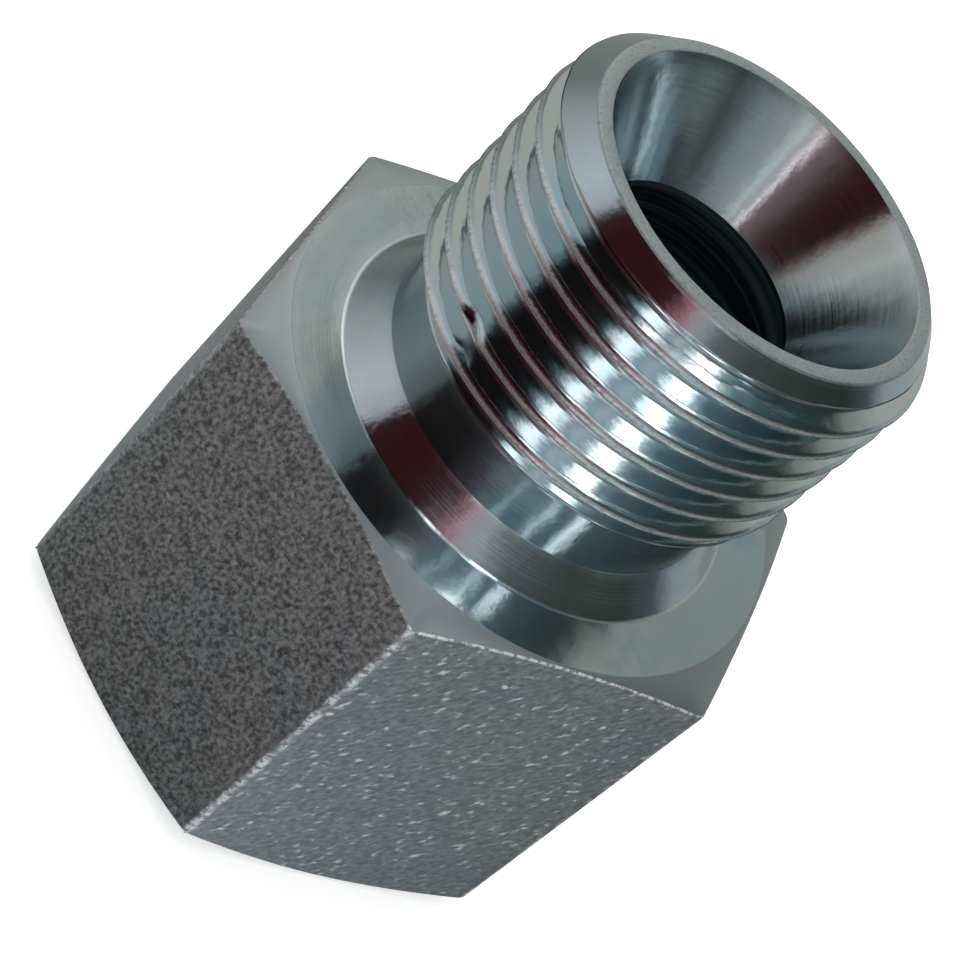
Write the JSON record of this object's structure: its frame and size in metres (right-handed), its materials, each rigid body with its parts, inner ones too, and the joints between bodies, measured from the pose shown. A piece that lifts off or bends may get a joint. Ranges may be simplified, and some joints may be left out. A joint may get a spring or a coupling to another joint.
{
  "type": "straight hose connector",
  "caption": "Straight steel hose connector turned from hexagon bar: male parallel pipe thread with a cone seat, relief groove, chamfered hexagon and female threaded port.",
  "frame": {"origin": "centre of the flat end face of the female port, on the axis", "axes": "+Z along the axis from the female port to the male thread, +Y square to one flat of the hexagon"},
  "size_m": [0.0252, 0.022, 0.0305],
  "materials": {
    "zinc_plated_steel": "bright blue-passivated zinc plating, turned smooth on the faces and rough on the bar's flats"
  },
  "bodies": {
    "root": {"connector_body": "zinc_plated_steel"}
  },
  "joints": []
}
